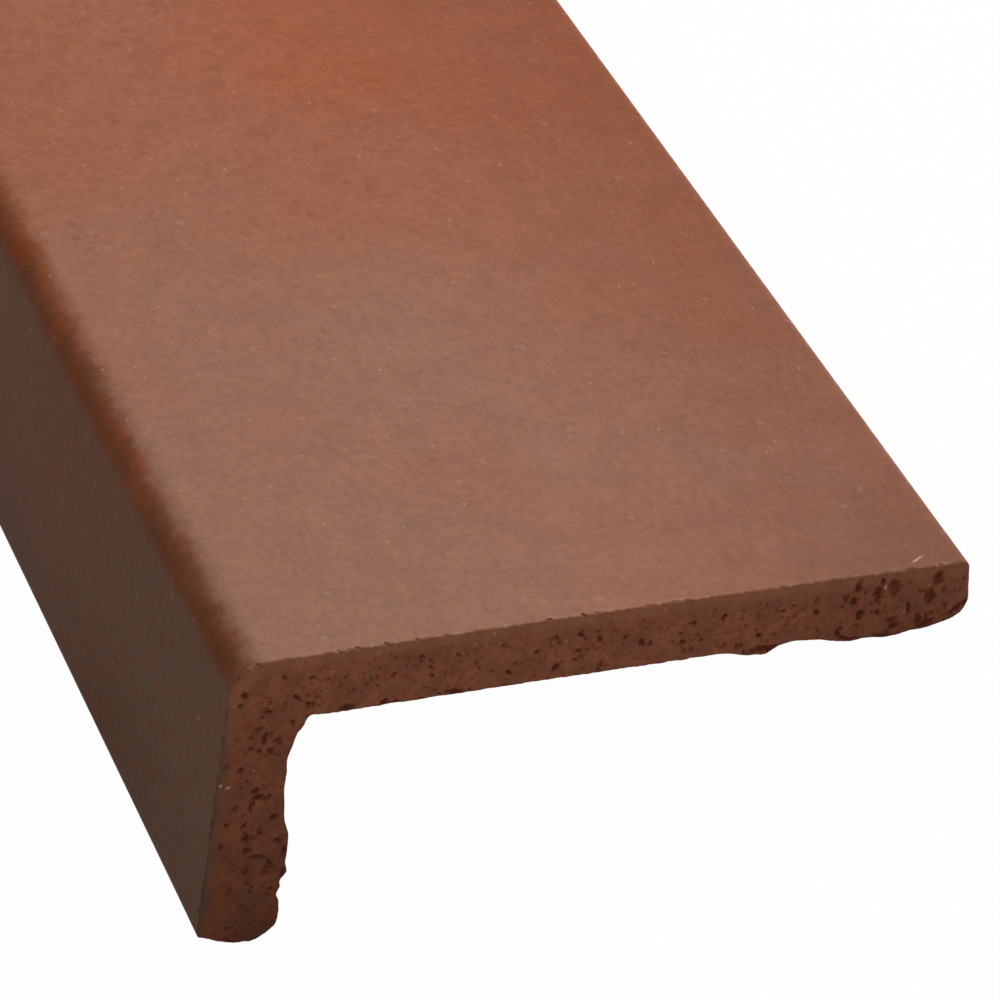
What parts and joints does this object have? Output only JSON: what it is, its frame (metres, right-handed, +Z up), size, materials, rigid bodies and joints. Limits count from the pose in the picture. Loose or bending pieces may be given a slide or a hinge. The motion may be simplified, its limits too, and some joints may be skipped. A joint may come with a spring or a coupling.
{
  "type": "clinker step tread",
  "caption": "L-shaped clinker step tread: a flat fired tread plate with a rounded nose and a short leg turned down over the front of the step.",
  "frame": {"origin": "on the floor under the centre of the piece's bounding box", "axes": "+Z up from the floor the loose piece lies on, +X from the nose and leg to the back edge of the tread, +Y along the length"},
  "size_m": [0.1252, 0.24, 0.051],
  "materials": {
    "clinker": "matt, unglazed, fired"
  },
  "bodies": {
    "root": {"step_tread": "clinker"}
  },
  "joints": []
}
